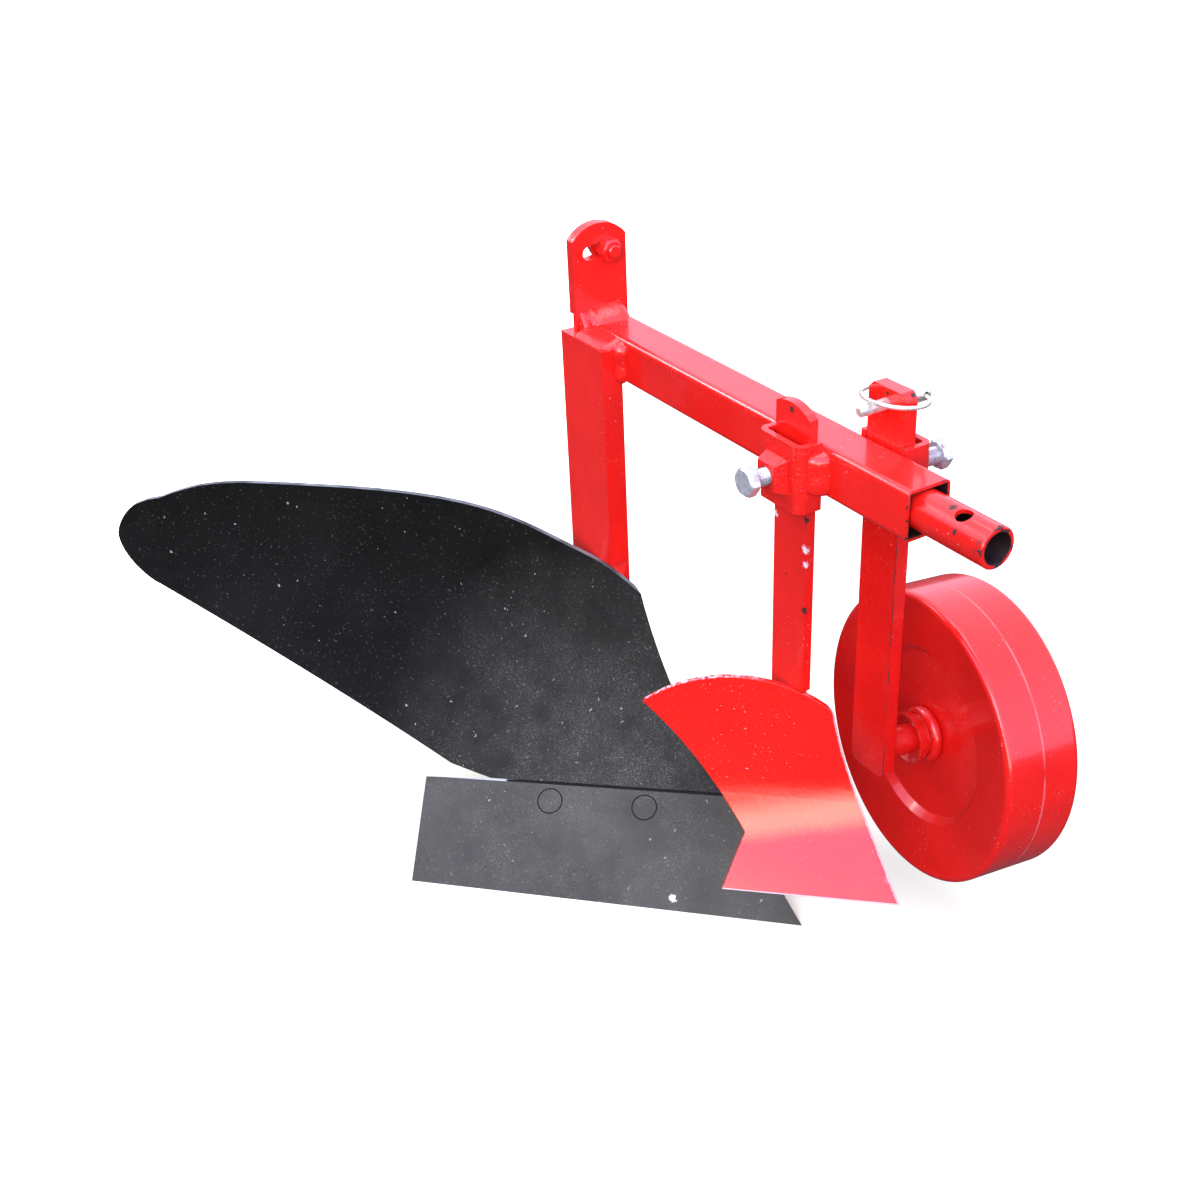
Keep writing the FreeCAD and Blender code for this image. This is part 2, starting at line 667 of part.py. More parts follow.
def skimmer_blade():
    plate = JOINTER.sheet(-40.0, 260.0, -2.0, JOINTER_T, JOINTER_TOP)

    def p(q):
        return JOINTER.at(q[0], -60.0, q[1])

    wing = p((145.0, 0.0))
    notch = p((129.0, 42.0))
    tip = p((219.0, 135.0))
    edges = [line(p((-30.0, 0.0)), wing), line(wing, notch)]
    edges.append(arc3(notch, p((175.0, 95.0)), tip))
    edges.append(arc3(tip, p((143.0, 161.5)), p((62.0, 137.0))))
    edges.append(line(p((62.0, 137.0)), p((-30.0, 137.0))))
    edges.append(line(p((-30.0, 137.0)), p((-30.0, 0.0))))
    outline = sweep_face(edges, JOINTER.back * 240.0)
    solid = plate.common(outline).cut(land_cut(JOINTER_LAND_Y))
    return solid


# ---------------------------------------------------------------- land wheel

def wheel_frame(solid):
    """Carry a solid built along +Y, hub centre line at the origin, to the axle."""
    turn = FreeCAD.Rotation(V(0, 0, 1), -AXLE_TOE_DEG)
    tip = FreeCAD.Rotation(V(1, 0, 0), -AXLE_DROP_DEG)
    seat = FreeCAD.Placement(V(HUB_X, HUB_Y, HUB_Z), turn.multiply(tip))
    solid.Placement = seat.multiply(solid.Placement)
    return solid


def spin(points, arcs=()):
    """Turn a closed outline in (radius, along) about the axle line."""
    pts = [V(r, y, 0) for r, y in points]
    edges = []
    n = len(pts)
    skip = {i: m for i, m in arcs}
    for i in range(n):
        a = pts[i]
        b = pts[(i + 1) % n]
        if i in skip:
            m = skip[i]
            edges.append(arc3(a, V(m[0], m[1], 0), b))
        else:
            edges.append(line(a, b))
    face = Part.Face(Part.Wire(edges))
    return face.revolve(V(0, 0, 0), V(0, 1, 0), 360)


def shell_half():
    """Half of the wheel shell: tread, rounded rim, dished disc; y=0 on its open side."""
    r = WHEEL_R
    h = 0.5 * WHEEL_W
    t = SHELL_T
    q = RIM_ROUND
    k = q * (1.0 - math.sqrt(0.5))
    inner_q = q - t
    ki = t + inner_q * (1.0 - math.sqrt(0.5))
    step_out = h - DISC_IN
    step_in = h - DISC_IN - STEP_SLOPE
    well = h - WELL_DEPTH
    pts = [(r, 0.0), (r, h - q), (r - q, h), (STEP_R, step_out), (STEP_R - 6.0, step_in)]
    pts += [(HUB_R, well), (HUB_R, well - t), (STEP_R - 6.0, step_in - t)]
    pts += [(STEP_R, step_out - t), (r - q, h - t), (r - t, h - q), (r - t, 0.0)]
    arcs = [(1, (r - k, h - k)), (9, (r - ki, h - ki))]
    return spin(pts, arcs)


def wheel_shells():
    """Far and near halves meeting at the middle of the tread."""
    mid = 0.5 * WHEEL_W
    far = shell_half()
    near = shell_half().mirror(V(0, 0, 0), V(0, 1, 0))
    far.translate(V(0, mid, 0))
    near.translate(V(0, mid, 0))
    return near, far


def collar(y_inner, way):
    """Round-edged collar on the hub end, with a neck running out to the thrust face."""
    r = COLLAR_R
    b = AXLE_R + BUSH_GAP
    q = 0.5 * COLLAR_L
    y1 = y_inner + way * COLLAR_L
    mid = y_inner + way * q
    pts = [(HUB_R - 2.0, y_inner), (r - q, y_inner), (r - q, y1), (b, y1), (b, y_inner)]
    return spin(pts, [(1, (r, mid))])


def wheel_parts():
    mid = 0.5 * WHEEL_W
    near, far = wheel_shells()
    half_hub = mid - WELL_DEPTH
    hub = spin([(BUSH_R, mid - half_hub), (HUB_R, mid - half_hub), (HUB_R, mid + half_hub),
                (BUSH_R, mid + half_hub)])
    bore = AXLE_R + BUSH_GAP
    bush_near = spin([(bore, mid - half_hub), (BUSH_R, mid - half_hub),
                      (BUSH_R, mid - 2.0), (bore, mid - 2.0)])
    bush_far = spin([(bore, mid + 2.0), (BUSH_R, mid + 2.0),
                     (BUSH_R, mid + half_hub), (bore, mid + half_hub)])
    near_collar = collar(mid - half_hub, -1.0)
    far_collar = collar(mid + half_hub, 1.0)
    return {"wheel_shell_near": near, "wheel_shell_far": far, "wheel_hub": hub,
            "hub_bush_near": bush_near, "hub_bush_far": bush_far,
            "hub_collar_near": near_collar, "hub_collar_far": far_collar}


def thrust_y():
    """Stations where the turning collars end, near and far."""
    near = WELL_DEPTH - COLLAR_L
    far = WHEEL_W - WELL_DEPTH + COLLAR_L
    return near, far


def axle_parts():
    near, far = thrust_y()
    cup_back = near - SIDE_PLAY - 4.0
    neck = spin([(AXLE_R, cup_back), (NECK_R, cup_back), (NECK_R, near - SIDE_PLAY),
                 (AXLE_R, near - SIDE_PLAY)])
    lip = cup_back - CUP_DEPTH
    cup = spin([(AXLE_R, cup_back), (AXLE_R, cup_back - CUP_T), (CUP_R - CUP_T - 3.0, cup_back - CUP_T),
                (CUP_R - CUP_T, lip), (CUP_R, lip), (CUP_R - 2.0, cup_back)])
    washer_y = far + SIDE_PLAY
    washer = spin([(AXLE_R, washer_y), (END_WASHER_R, washer_y),
                   (END_WASHER_R, washer_y + END_WASHER_T), (AXLE_R, washer_y + END_WASHER_T)])
    pin_y = washer_y + END_WASHER_T + SPLIT_R
    split = cyl(SPLIT_R, SPLIT_L, (-0.5 * SPLIT_L, pin_y, 0), (1, 0, 0))
    end_y = pin_y + SPLIT_R + 3.0
    start_y = -48.0
    axle = cyl(AXLE_R, end_y - start_y, (0, start_y, 0), (0, 1, 0))
    rim = [e for e in axle.Edges if e.CenterOfMass.y > end_y - 0.1]
    axle = axle.makeChamfer(EDGE_BREAK, rim)
    axle = axle.cut(split)
    wheel_frame(axle)
    axle = axle.cut(box(-BIG, BIG, -BIG, 0.5 * BEAM_SIDE + BAR_GAP + WBAR_T, -BIG, BIG))
    return {"wheel_axle": axle, "axle_cup": wheel_frame(cup), "axle_spacer": wheel_frame(neck),
            "axle_end_washer": wheel_frame(washer), "axle_split_pin": wheel_frame(split)}


def wheel_post():
    y0 = 0.5 * BEAM_SIDE + BAR_GAP
    x0 = WBAR_FRONT - WBAR_W
    solid = box(x0, WBAR_FRONT, y0, y0 + WBAR_T, WBAR_FOOT, WBAR_TOP)
    ends = [e for e in solid.Edges if abs(e.tangentAt(e.FirstParameter).y) > 0.9]
    solid = solid.makeChamfer(WBAR_CHAMFER, ends)
    c = (0.5 * (x0 + WBAR_FRONT), y0 - 1.0, LYNCH_Z)
    return solid.cut(cyl(LYNCH_R + 0.25, WBAR_T + 2.0, c, (0, 1, 0)))


def lynch_seat():
    """X of the pin, Y of the bar faces."""
    y0 = 0.5 * BEAM_SIDE + BAR_GAP
    return WBAR_FRONT - 0.5 * WBAR_W, y0, y0 + WBAR_T


def ring_hinge():
    x, y0, y1 = lynch_seat()
    return V(x, y1 + LYNCH_EYE_OUT, LYNCH_Z)


def lynch_pin():
    x, y0, y1 = lynch_seat()
    shank = cyl(LYNCH_R, y1 - LYNCH_TIP_Y, (x, LYNCH_TIP_Y, LYNCH_Z), (0, 1, 0))
    rim = [e for e in shank.Edges if e.CenterOfMass.y < LYNCH_TIP_Y + 0.1]
    shank = shank.makeChamfer(1.5, rim)
    head = cyl(LYNCH_HEAD_R, LYNCH_HEAD_L, (x, y1, LYNCH_Z), (0, 1, 0))
    far = [e for e in head.Edges if e.CenterOfMass.y > y1 + LYNCH_HEAD_L - 0.1]
    head = head.makeFillet(2.5, far)
    head = head.fuse(cyl(LYNCH_FLANGE_R, LYNCH_FLANGE_T, (x, y1, LYNCH_Z), (0, 1, 0)))
    c = ring_hinge()
    eye = cyl(RING_EYE_R, 4.0 * LYNCH_HEAD_R, (x - 2.0 * LYNCH_HEAD_R, c.y, c.z), (1, 0, 0))
    return shank.fuse(head).removeSplitter().cut(eye)


def ring_lift():
    """Tilt of the ring when it rests on the top of the pin near its tip."""
    rise = LYNCH_R + RING_WIRE_R + RUN_GAP
    return math.degrees(math.asin(rise / (2.0 * RING_R)))


def lynch_ring():
    c = ring_hinge()
    ring = Part.makeTorus(RING_R, RING_WIRE_R)
    ring.translate(V(0, -RING_R, 0))
    turn = FreeCAD.Rotation(V(1, 0, 0), -ring_lift())
    ring.Placement = FreeCAD.Placement(c, turn).multiply(ring.Placement)
    return ring


def main():
    os.makedirs("parts", exist_ok=True)
    ahead = room_ahead()
    save("beam_tube", beam_tube())
    save("standard_post", standard_post(ahead))
    save("tilt_plate", tilt_plate())
    save("hitch_tube", hitch_tube())
    save("tilt_arm", tilt_arm())
    save("tilt_bolt", tilt_bolt())
    save("tilt_nut", tilt_nut())
    save("share", share())
    save("share_carrier", share_carrier())
    for k, (a, u) in enumerate(zip(SHARE_BOLT_ALONG, SHARE_BOLT_UP)):
        tag = ("inner", "outer")[k]
        save("share_bolt_" + tag, plough_bolt_body(a, u))
        save("share_nut_" + tag, share_nut(a, u))
    save("mouldboard", mouldboard())
    save("mouldboard_stay", mouldboard_stay(ahead))
    save("frog_plate", frog_plate(ahead))
    save("landside_plate", landside_plate(ahead))
    for k, x in enumerate(LAND_BOLT_X):
        tag = ("rear", "front")[k]
        save("landside_bolt_" + tag, landside_bolt(x))
        save("landside_nut_" + tag, landside_nut(x))
    save("skimmer_bracket", strap(-1, JBAR_FRONT, JBAR_W, JSTRAP_OUT))
    save("skimmer_bracket_boss", boss(-1, JBAR_FRONT, JBAR_W, JSTRAP_OUT))
    save("wheel_bracket", strap(1, WBAR_FRONT, WBAR_W, WSTRAP_OUT))
    save("wheel_bracket_boss", boss(1, WBAR_FRONT, WBAR_W, WSTRAP_OUT))
    y0, y1 = jbar_faces()
    save("skimmer_clamp_bolt", clamp_bolt(JBAR_FRONT, JBAR_W, y0 - CLAMP_OPEN, JCLAMP_HEAD_Y))
    w_face = 0.5 * BEAM_SIDE + BAR_GAP + WBAR_T
    save("wheel_clamp_bolt", clamp_bolt(WBAR_FRONT, WBAR_W, w_face + CLAMP_OPEN, WCLAMP_HEAD_Y))
    save("skimmer_post", skimmer_post())
    save("skimmer_gusset", skimmer_gusset())
    save("skimmer_blade", skimmer_blade())
    save("wheel_post", wheel_post())
    save("lynch_pin", lynch_pin())
    save("lynch_ring", lynch_ring())
    for name, solid in wheel_parts().items():
        save(name, wheel_frame(solid))
    for name, solid in axle_parts().items():
        save(name, solid)


main()
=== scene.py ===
import bpy
import math
from mathutils import Matrix, Vector, noise


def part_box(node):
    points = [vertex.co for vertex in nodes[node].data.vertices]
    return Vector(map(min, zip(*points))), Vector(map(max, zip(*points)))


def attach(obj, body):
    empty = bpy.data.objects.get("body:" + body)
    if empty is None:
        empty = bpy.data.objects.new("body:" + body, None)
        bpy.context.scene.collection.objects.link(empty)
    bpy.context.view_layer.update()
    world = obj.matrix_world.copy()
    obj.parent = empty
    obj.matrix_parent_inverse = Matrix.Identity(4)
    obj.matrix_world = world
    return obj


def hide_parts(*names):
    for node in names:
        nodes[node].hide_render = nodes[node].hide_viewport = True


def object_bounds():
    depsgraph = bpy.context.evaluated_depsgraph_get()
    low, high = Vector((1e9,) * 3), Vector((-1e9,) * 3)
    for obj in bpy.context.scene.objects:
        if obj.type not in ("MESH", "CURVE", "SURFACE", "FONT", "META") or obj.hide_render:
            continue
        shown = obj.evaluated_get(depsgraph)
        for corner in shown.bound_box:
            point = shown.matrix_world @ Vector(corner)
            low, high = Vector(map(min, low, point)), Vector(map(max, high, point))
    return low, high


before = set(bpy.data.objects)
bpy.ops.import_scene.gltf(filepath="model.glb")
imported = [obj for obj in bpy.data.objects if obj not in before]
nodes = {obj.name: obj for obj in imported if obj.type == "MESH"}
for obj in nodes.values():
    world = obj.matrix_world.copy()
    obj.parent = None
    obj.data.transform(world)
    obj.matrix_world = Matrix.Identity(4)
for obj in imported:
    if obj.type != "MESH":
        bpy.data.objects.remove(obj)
cad_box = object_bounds()
scene = bpy.context.scene
scene.view_settings.view_transform = "Standard"

# ---------------------------------------------------------------- lamps and camera
# Soft square lamps hang over the plough body, stand behind it and stand beside the viewer.
# The camera stands ahead of the plough on its furrow side and looks down about 30 degrees.
# Each lamp: place, the point it aims at, side in metres, watts.
LAMPS = {
    "lamp_over": ((-0.45, 0.25, 1.70), (-0.25, -0.05, -0.2), 1.3, 11.0),
    "lamp_behind": ((-1.80, -0.85, 1.22), (-0.25, -0.05, 0.0), 0.6, 13.0),
    "lamp_viewer": ((0.95, -1.60, 0.95), (-0.25, -0.10, -0.25), 0.8, 15.0),
}
VIEW_PLACE = Vector((0.67589, -0.69080, 0.50133))
VIEW_RIGHT = Vector((0.56460, 0.82523, -0.01474))
VIEW_UP = Vector((-0.40618, 0.29336, 0.86542))
VIEW_LENS = 46.93
VIEW_SHIFT = (-0.0678, -0.0036)

for lamp_name, (place, aim, size, power) in LAMPS.items():
    lamp = bpy.data.lights.new(lamp_name, "AREA")
    lamp.shape = "SQUARE"
    lamp.size = size
    lamp.energy = power
    holder = bpy.data.objects.new(lamp_name, lamp)
    scene.collection.objects.link(holder)
    holder.location = place
    holder.rotation_euler = (Vector(aim) - Vector(place)).to_track_quat("-Z", "Y").to_euler()

view = bpy.data.cameras.new("view")
view.lens = VIEW_LENS
view.shift_x, view.shift_y = VIEW_SHIFT
view.clip_end = 60.0
view_holder = bpy.data.objects.new("view", view)
scene.collection.objects.link(view_holder)
turned = Matrix((VIEW_RIGHT, VIEW_UP, VIEW_RIGHT.cross(VIEW_UP))).transposed()
view_holder.matrix_world = Matrix.Translation(VIEW_PLACE) @ turned.to_4x4()
scene.camera = view_holder


# ---------------------------------------------------------------- white sky and floor
# The sky is a pale dome, brightest low down on the viewer's side and dark at the horizon,
# which is what enamel and zinc mirror. The floor is pale paper that keeps soft shadows.
SKY_AWAY = (1.10, 1.22, 1.62, 1.0)
SKY_VIEWER = (2.05, 2.35, 3.85, 1.0)
SKY_GLARE = (7.6, 7.5, 6.1, 1.0)
SKY_HORIZON = (0.10, 0.07, 0.06, 1.0)
VIEWER_SIDE = (0.67, -0.742, 0.0)
VIEWER_ACROSS = (0.742, 0.67, 0.0)
FLOOR_SEEN = (0.93, 0.87, 0.66, 1.0)
FLOOR_MIRRORED = (0.085, 0.062, 0.055, 1.0)
FLOOR_REACH = 30.0
GLOW_FROM = 0.9
GLOW_FULL = 1.6
WHITE = (1.0, 1.0, 1.0, 1.0)
BLACK = (0.0, 0.0, 0.0, 1.0)


class Wire:
    """A shader socket that adds, multiplies and compares like a number."""

    def __init__(self, tree, socket=None):
        self.tree = tree
        self.socket = socket

    def node(self, kind, sockets, output=0, **settings):
        made = self.tree.nodes.new("ShaderNode" + kind)
        for key, value in settings.items():
            setattr(made, key, value)
        for key, value in sockets.items():
            if isinstance(value, Wire):
                self.tree.links.new(value.socket, made.inputs[key])
            else:
                made.inputs[key].default_value = value
        return Wire(self.tree, made.outputs[output])

    def maths(self, operation, *values):
        return self.node("Math", dict(enumerate(values)), operation=operation)

    def __add__(self, other):
        return self.maths("ADD", self, other)

    __radd__ = __add__

    def __mul__(self, other):
        return self.maths("MULTIPLY", self, other)

    __rmul__ = __mul__

    def __sub__(self, other):
        return self.maths("SUBTRACT", self, other)

    def __rsub__(self, other):
        return self.maths("SUBTRACT", other, self)

    def abs(self):
        return self.maths("ABSOLUTE", self)

    def either(self, other):
        return self.maths("MAXIMUM", self, other)

    def over(self, low, high):
        """0 below low, 1 above high, a ramp between; falls when low is the larger."""
        return self.node("MapRange", {"Value": self, "From Min": low, "From Max": high})

    def along(self, direction):
        """Length of this vector along a direction."""
        return self.node("VectorMath", {0: self, 1: direction}, 1, operation="DOT_PRODUCT")

    def tint(self, first, second):
        """Colour from first to second by this mask; a Mix node's colour ends are 6 and 7."""
        return self.node("Mix", {0: self, 6: first, 7: second}, 2, data_type="RGBA")


class Finish(Wire):
    """A named material with its Principled shader and the place on the piece."""

    def __init__(self, name, **constants):
        self.material = bpy.data.materials.new(name)
        self.material.use_nodes = True
        super().__init__(self.material.node_tree)
        self.shader = self.tree.nodes["Principled BSDF"]
        for key, value in constants.items():
            self.shader.inputs[key.replace("_", " ")].default_value = value
        self.place = self.node("TexCoord", {}, 3)

    def grain(self, scale, detail=2.0, rough=0.5, stretch=None):
        place = self.place
        if stretch:
            place = self.node("VectorMath", {0: place, 1: stretch}, operation="MULTIPLY")
        return self.node("TexNoise", {"Vector": place, "Scale": scale, "Detail": detail,
                                      "Roughness": rough})

    def facing(self, direction):
        return self.node("NewGeometry", {}, 1).along(direction)

    def near(self, point, radius, fray=1.6):
        """Ragged spot: 1 inside the radius around a point, 0 outside."""
        gap = self.node("VectorMath", {0: self.place, 1: point}, 1, operation="DISTANCE")
        ragged = gap + (self.grain(420.0, 4.0, 0.75) - 0.5) * (radius * 2.0 * fray)
        return ragged.over(radius * 0.85, radius * 0.70)

    def set(self, socket, value):
        self.tree.links.new(value.socket, self.shader.inputs[socket])

    def bump(self, height, depth, strength=1.0, normal=None):
        sockets = {"Height": height, "Distance": depth, "Strength": strength}
        if normal is not None:
            sockets["Normal"] = normal
        self.set("Normal", self.node("Bump", sockets))


world = bpy.data.worlds.new("pale_dome")
scene.world = world
world.use_nodes = True
air = Wire(world.node_tree)
toward = air.node("TexCoord", {}, 0)
rise = toward.along((0.0, 0.0, 1.0))
viewer_side = toward.along(VIEWER_SIDE)
dome = viewer_side.over(-0.3, 0.9).tint(SKY_AWAY, SKY_VIEWER)
lift = rise - viewer_side.over(0.2, 0.9) * 0.20 + toward.along(VIEWER_ACROSS) * 0.30
glare = lift.over(0.118, 0.060) * viewer_side.over(0.55, 0.92)
skyline = lift + toward.along(VIEWER_ACROSS) * 0.12
dome = skyline.over(-0.150, 0.010).tint(SKY_HORIZON, glare.tint(dome, SKY_GLARE))
seen = air.node("LightPath", {}, 0)
dome = seen.tint(dome, WHITE)
world.node_tree.links.new(dome.socket, world.node_tree.nodes["Background"].inputs["Color"])

floor_z = cad_box[0][2]
floor_mesh = bpy.data.meshes.new("floor")
floor_mesh.from_pydata([(-FLOOR_REACH, -FLOOR_REACH, floor_z), (FLOOR_REACH, -FLOOR_REACH, floor_z),
                        (FLOOR_REACH, FLOOR_REACH, floor_z), (-FLOOR_REACH, FLOOR_REACH, floor_z)],
                       [], [(0, 1, 2, 3)])
floor = bpy.data.objects.new("floor", floor_mesh)
scene.collection.objects.link(floor)
paper = Finish("floor_paper", Roughness=1.0, Specular_IOR_Level=0.0, Emission_Strength=1.0)
floor_seen = paper.node("LightPath", {}, 0)
paper.set("Base Color", floor_seen.tint(FLOOR_MIRRORED, FLOOR_SEEN))
distance = paper.node("VectorMath", {0: paper.place}, 1, operation="LENGTH")
glow = distance.over(GLOW_FROM, GLOW_FULL) * floor_seen
paper.set("Emission Color", glow.tint(BLACK, WHITE))
floor_mesh.materials.append(paper.material)


# ---------------------------------------------------------------- beam tube
# 40 mm square steel tube, saw-cut, sprayed with one thick coat of glossy red enamel after
# welding. The coat levels to a soft orange peel; the tube's inside stays bare and black.
ENAMEL = (0.86, 0.0115, 0.0062, 1.0)
ENAMEL_DEEP = (0.62, 0.0055, 0.0045, 1.0)
PALE_MARK_AND_HIGHLIGHT = (0.72, 0.66, 0.66, 1.0)
CHIP_STEEL = (0.045, 0.020, 0.017, 1.0)
EDGE_SOFT = 0.0010
BARE_BLACK = (0.014, 0.004, 0.005, 1.0)


def enamel(name, pale_marks_and_highlight=None, dark_chips=None, bare=None, rough=0.20, spatter=0.0, dull=0.0,
           uneven=1.0, curl=None, specular=0.42, cover=0.60):
    """Glossy red coat; masks give pale chips and painted highlights, bare steel and an unpainted inside.

    spatter adds weld grains under the coat, and curl a wide bend of the surface in metres."""
    coat = Finish(name, Specular_IOR_Level=specular, Coat_Roughness=0.09, Coat_IOR=1.5)
    clouds = coat.grain(7.0, 4.0, 0.62).over(0.35, 0.75)
    dust = coat.grain(520.0, 2.0, 0.5).over(0.69, 0.75) * coat.grain(22.0, 2.0).over(0.42, 0.62)
    fine = coat.grain(1400.0, 1.0).over(0.62, 0.75)
    colour = clouds.tint(ENAMEL, ENAMEL_DEEP)
    colour = (dust * 0.40 + fine * 0.05).tint(colour, PALE_MARK_AND_HIGHLIGHT)
    gloss = clouds * (0.06 * uneven) + coat.grain(18.0, 4.0, 0.7) * (0.16 * uneven)
    gloss = gloss + (rough + dull - 0.05)
    cover = (clouds * -0.1 + (cover - dull)).either(0.0)
    # The pale mask is real chips and scratches, except on the wheel tread, where it is a painted highlight.
    if pale_marks_and_highlight is not None:
        mask = pale_marks_and_highlight(coat)
        colour = mask.tint(colour, PALE_MARK_AND_HIGHLIGHT)
        gloss = gloss + mask * 0.35
        cover = cover * (1.0 - mask)
    if dark_chips is not None:
        mask = dark_chips(coat)
        colour = mask.tint(colour, CHIP_STEEL)
        gloss = gloss + mask * 0.25
        cover = cover * (1.0 - mask)
    if bare is not None:
        mask = bare(coat)
        colour = mask.tint(colour, BARE_BLACK)
        gloss = gloss + mask * 0.4
        cover = cover * (1.0 - mask)
    coat.set("Base Color", colour)
    coat.set("Roughness", gloss)
    coat.set("Coat Weight", cover)
    height = coat.grain(300.0, 1.0, 0.4) * 0.4 + coat.grain(26.0, 1.0, 0.4) * 1.2
    height = height + coat.grain(7.0) * 5.0
    if spatter:
        height = height + coat.grain(420.0, 2.0, 0.6).over(0.58, 0.70) * (4.0 * spatter)
        height = height + coat.grain(150.0, 2.0, 0.6).over(0.60, 0.72) * (5.0 * spatter)
    normal = coat.node("Bevel", {"Radius": EDGE_SOFT}, samples=4)
    if curl is not None:
        normal = coat.node("Bump", {"Height": curl(coat), "Distance": 1.0, "Strength": 1.0,
                                    "Normal": normal})
    coat.bump(height, 0.00016, 0.5, normal)
    return coat.material


def wear(material, *node_names):
    for node_name in node_names:
        slots = nodes[node_name].data.materials
        slots.clear()
        slots.append(material)


BEAM_FRONT_X = -0.040


def beam_rim(coat):
    at_end = coat.place.along((1.0, 0.0, 0.0)).over(BEAM_FRONT_X - 0.0012, BEAM_FRONT_X - 0.0004)
    return at_end * coat.grain(170.0, 3.0, 0.6).over(0.56, 0.62)


def beam_inside(coat):
    across = coat.place.along((0.0, 1.0, 0.0)).abs().either(coat.place.along((0.0, 0.0, 1.0)).abs())
    return across.over(0.0179, 0.0174)


def beam_scratches(coat):
    streak = coat.grain(90.0, 3.0, 0.7, (0.25, 3.0, 3.0)).over(0.70, 0.72)
    low = coat.place.along((1.0, 0.0, 0.0)).over(-0.46, -0.05)
    return streak * coat.facing((0.0, 0.0, -1.0)).over(0.1, 0.4) * (0.5 + low * 0.5)


wear(enamel("beam_enamel", beam_scratches, beam_rim, beam_inside), "beam_tube")

# ---------------------------------------------------------------- standard post
# Flat bar 68 by 20 mm welded to the furrow side of the beam. The manual arc welds stand as
# smooth lumpy fillets where post, beam and tilt plate meet, painted over with the rest.
plain_enamel = enamel("red_enamel")
weld_enamel = enamel("weld_enamel", spatter=0.6)
wear(plain_enamel, "standard_post", "share_carrier", "frog_plate", "mouldboard_stay")


WELD_ROW = 0.0009
WELD_AROUND = 12
WELD_SINK = 0.0006
WELD_BACK = 0.0010


def fillet(piece_name, start, end, first, second, widths, body, bulge, lumps, seed):
    """Weld filling the corner line start-end, spreading along two directions."""
    start, end, first, second = Vector(start), Vector(end), Vector(first), Vector(second)
    run = end - start
    rows = max(8, int(run.length / WELD_ROW))
    around = WELD_AROUND
    rim = (first + second).normalized()
    verts, faces = [], []
    for i in range(rows + 1):
        along = i / rows
        taper = math.sqrt(max(0.0, 1.0 - abs(2.0 * along - 1.0) ** 6))
        corner = start + run * along - rim * WELD_SINK
        ripple = 1.0 + lumps * noise.noise(Vector((along * run.length * 60.0, seed, 0.0)))
        for j in range(around + 1):
            angle = 0.5 * math.pi * j / around
            wide = widths[0] * math.cos(angle) ** bulge * taper * ripple
            high = widths[1] * math.sin(angle) ** bulge * taper * ripple
            point = corner + first * wide + second * high
            bump = noise.noise(point * 130.0 + Vector((seed, 0, 0))) * lumps * 0.10
            bump += noise.noise(point * 600.0) * 0.010
            point += rim * bump * (widths[0] + widths[1]) * 0.5 * math.sin(2.0 * angle) * taper
            verts.append(point)
        verts.append(corner - rim * WELD_BACK)
    step = around + 2
    for i in range(rows):
        for j in range(step):
            a, b = i * step + j, i * step + (j + 1) % step
            faces.append((a, b, b + step, a + step))
    faces.append(tuple(range(step))[::-1])
    faces.append(tuple(rows * step + j for j in range(step)))
    mesh = bpy.data.meshes.new(piece_name)
    mesh.from_pydata(verts, [], faces)
    mesh.shade_smooth()
    mesh.materials.append(weld_enamel)
    piece = bpy.data.objects.new(piece_name, mesh)
    scene.collection.objects.link(piece)
    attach(piece, body)


LEFT, RIGHT, FORE, AFT, UP, DOWN = ((0, 1, 0), (0, -1, 0), (1, 0, 0), (-1, 0, 0), (0, 0, 1), (0, 0, -1))
beam_low, beam_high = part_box("beam_tube")
post_low, post_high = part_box("standard_post")
fillet("weld_post_beam_top", (beam_low.x, beam_low.y, post_high.z), (post_high.x, beam_low.y, post_high.z),
       RIGHT, UP, (0.0195, 0.0082), "frame", 1.75, 0.05, 3.0)
fillet("weld_post_front", (post_high.x, beam_low.y, post_high.z + 0.006),
       (post_high.x, beam_low.y, beam_low.z - 0.001), FORE, RIGHT, (0.0075, 0.0085), "frame", 1.2, 0.35, 5.0)
fillet("weld_post_under", (beam_low.x + 0.004, beam_low.y, beam_low.z), (post_high.x, beam_low.y, beam_low.z),
       LEFT, DOWN, (0.007, 0.006), "frame", 1.3, 0.4, 9.0)
fillet("weld_post_back", (beam_low.x + 0.002, post_high.y, post_high.z - 0.034),
       (post_low.x + 0.012, post_high.y, beam_low.z - 0.020), LEFT, FORE, (0.004, 0.004), "frame",
       1.3, 0.4, 2.0)

# ---------------------------------------------------------------- tilt plate, arm, bolt, nut
# Two 5 mm plates with an arc slot; the front one is welded on the end of the beam, the rear
# one on the hitch tube. An M12 bolt and nut clamp them and were sprayed over with the rest.
plate_low, plate_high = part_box("tilt_plate")
wear(plain_enamel, "tilt_plate", "tilt_arm", "tilt_bolt", "tilt_nut")
fillet("weld_plate_beam_top", (plate_high.x, beam_low.y - 0.004, beam_high.z - 0.001),
       (plate_high.x, beam_high.y, beam_high.z - 0.001), FORE, UP, (0.018, 0.0130), "frame", 1.6, 0.07, 7.0)
fillet("weld_plate_post_top", (plate_high.x, plate_low.y + 0.002, post_high.z),
       (plate_high.x, beam_low.y + 0.006, post_high.z), FORE, UP, (0.012, 0.017), "frame", 1.6, 0.07, 11.0)
fillet("weld_plate_beam_left", (plate_high.x, beam_high.y, beam_high.z - 0.003),
       (plate_high.x, beam_high.y, beam_low.z + 0.003), FORE, LEFT, (0.007, 0.003), "frame", 1.3, 0.3, 13.0)

# ---------------------------------------------------------------- hitch tube
# 32 mm tube that turns in the beam and carries the hitch pin hole. The socket has scuffed
# the enamel off in small patches near the mouth, and the bore is bare.
TUBE_MOUTH_X = 0.029


